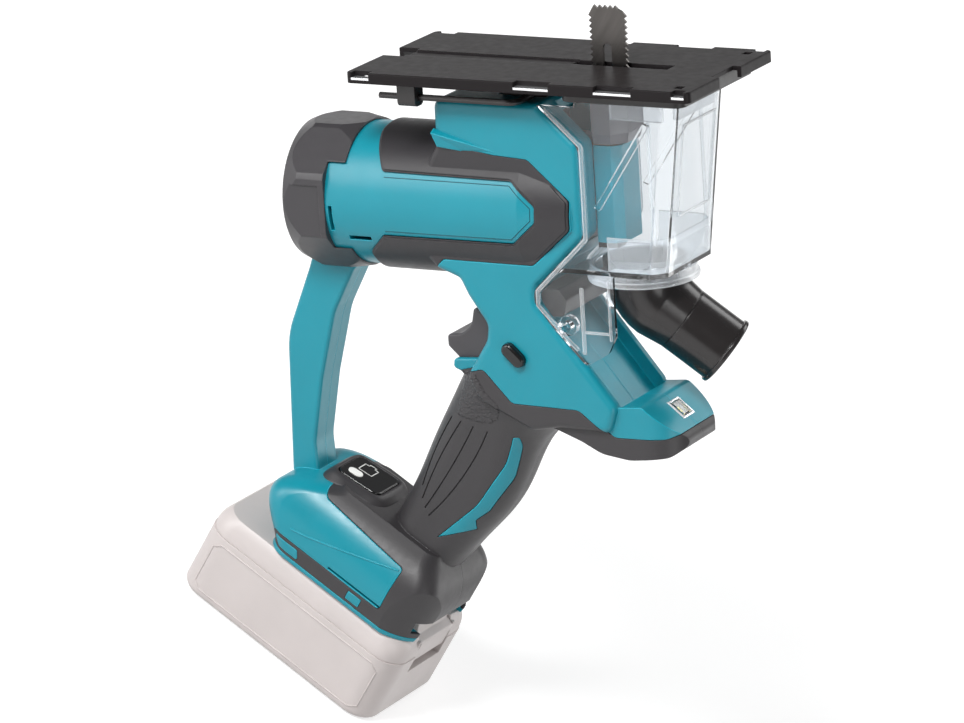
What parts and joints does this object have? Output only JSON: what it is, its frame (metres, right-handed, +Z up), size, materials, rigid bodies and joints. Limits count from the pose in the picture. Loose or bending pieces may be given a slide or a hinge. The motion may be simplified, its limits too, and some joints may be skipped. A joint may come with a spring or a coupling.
{
  "type": "cordless drywall saw",
  "caption": "Cordless drywall cut-out saw with a D-handle, flat base, short reciprocating blade, clear dust box with swivelling nozzle, and a slide-on battery pack it stands on.",
  "frame": {"origin": "centre of the battery pack's bottom face, on the floor the saw stands on", "axes": "+Z up, +X forward along the way the battery slides off, +Y to the saw's right, away from the lock button side"},
  "size_m": [0.2359, 0.086, 0.3688],
  "materials": {
    "teal_plastic": "satin moulded plastic",
    "soft_grey": "matte moulded elastomer",
    "black_plastic": "satin black plastic",
    "gloss_black": "gloss black plastic",
    "plate_black": "black coated steel sheet",
    "bright_steel": "zinc plated",
    "tool_steel": "hardened steel",
    "clear_plastic": "clear polycarbonate",
    "pack_grey": "pale grey moulded plastic",
    "die_cast": "die-cast, as cast",
    "bronze": "sintered bronze",
    "copper": "copper",
    "magnet": "sintered magnet",
    "carbon": "carbon",
    "board_green": "printed board",
    "white_mark": "white print"
  },
  "bodies": {
    "housing": {"housing_left": "teal_plastic", "housing_right": "teal_plastic", "barrel_cover_left": "soft_grey", "barrel_cover_right": "soft_grey", "grip_cover_left": "soft_grey", "grip_cover_right": "soft_grey", "housing_screws": "tool_steel", "base_plate": "plate_black", "edge_strips": "bright_steel", "base_frame": "black_plastic", "base_bolts": "tool_steel", "key_clip": "black_plastic", "rear_cap": "black_plastic", "motor_can": "tool_steel", "magnets": "magnet", "brush_plate": "black_plastic", "brushes": "carbon", "gear_case": "die_cast", "gear_cover": "die_cast", "guide_bushes": "bronze", "box_catch": "black_plastic", "rear_bearing": "bright_steel", "front_bearing": "bright_steel", "crank_bearing_rear": "bright_steel", "crank_bearing_front": "bright_steel", "switch_body": "black_plastic", "indicator_panel": "gloss_black", "lamp_lens": "clear_plastic", "lamp_board": "board_green", "terminal_block": "black_plastic", "terminal_blades": "copper", "control_board": "board_green"},
    "rotor": {"armature": "tool_steel", "commutator": "copper", "motor_fan": "black_plastic", "pinion": "tool_steel"},
    "crank": {"crank_gear": "tool_steel", "crank_shaft": "tool_steel", "crank_roller": "bright_steel"},
    "plunger": {"plunger": "tool_steel", "clamp_plate": "tool_steel", "clamp_screw": "bright_steel", "blade": "tool_steel"},
    "trigger": {"trigger": "soft_grey"},
    "lock_button": {"lock_button": "gloss_black"},
    "check_button": {"check_button": "white_mark"},
    "dust_box": {"dust_box": "clear_plastic"},
    "nozzle": {"dust_nozzle": "black_plastic"},
    "hex_key": {"hex_key": "tool_steel"},
    "battery": {"battery_lower": "pack_grey", "battery_upper": "pack_grey", "battery_cells": "tool_steel", "battery_contacts": "copper"},
    "battery_latch": {"battery_latch": "pack_grey"}
  },
  "joints": [
    {"name": "motor_spin", "type": "hinge", "parent": "housing", "child": "rotor", "pos_m": [-0.04476, 0, 0.23121], "axis": [0.8387, 0, 0.5446], "range_deg": [-270, 270]},
    {"name": "crank_turn", "type": "hinge", "parent": "housing", "child": "crank", "pos_m": [-0.01045, 0, 0.27018], "axis": [0.8387, 0, 0.5446], "range_deg": [-90.5, 90.5]},
    {"name": "blade_stroke", "type": "slide", "parent": "housing", "child": "plunger", "axis": [-0.5446, 0, 0.8387], "range_m": [-0.00305, 0.00305]},
    {"name": "trigger_pull", "type": "slide", "parent": "housing", "child": "trigger", "axis": [1, 0, 0], "range_m": [0, 0.005], "stiffness_N_per_m": 900, "springref_m": -0.003},
    {"name": "lock_press", "type": "slide", "parent": "housing", "child": "lock_button", "axis": [0, 1, 0], "range_m": [0, 0.0025], "stiffness_N_per_m": 600, "springref_m": -0.002},
    {"name": "check_press", "type": "slide", "parent": "housing", "child": "check_button", "axis": [0.0872, 0, -0.9962], "range_m": [0, 0.0006], "stiffness_N_per_m": 600, "springref_m": -0.0008},
    {"name": "box_pull", "type": "slide", "parent": "housing", "child": "dust_box", "axis": [0.8387, 0, 0.5446], "range_m": [0, 0.06]},
    {"name": "nozzle_swivel", "type": "hinge", "parent": "dust_box", "child": "nozzle", "pos_m": [0.05413, 0, 0.26622], "axis": [-0.5446, 0, 0.8387], "range_deg": [-67, 23]},
    {"name": "key_pull", "type": "slide", "parent": "housing", "child": "hex_key", "axis": [-0.8387, 0, -0.5446], "range_m": [0, 0.02]},
    {"name": "battery_slide", "type": "slide", "parent": "housing", "child": "battery", "axis": [1, 0, 0], "range_m": [0, 0.09]},
    {"name": "latch_press", "type": "slide", "parent": "battery", "child": "battery_latch", "axis": [0, 0, -1], "range_m": [0, 0.004], "stiffness_N_per_m": 800, "springref_m": -0.003}
  ],
  "couplings": [
    {"joint": "crank_turn", "follows": "motor_spin", "ratio": -0.33333},
    {"joint": "blade_stroke", "follows": "motor_spin", "m_per_rad": -0.00063662}
  ]
}
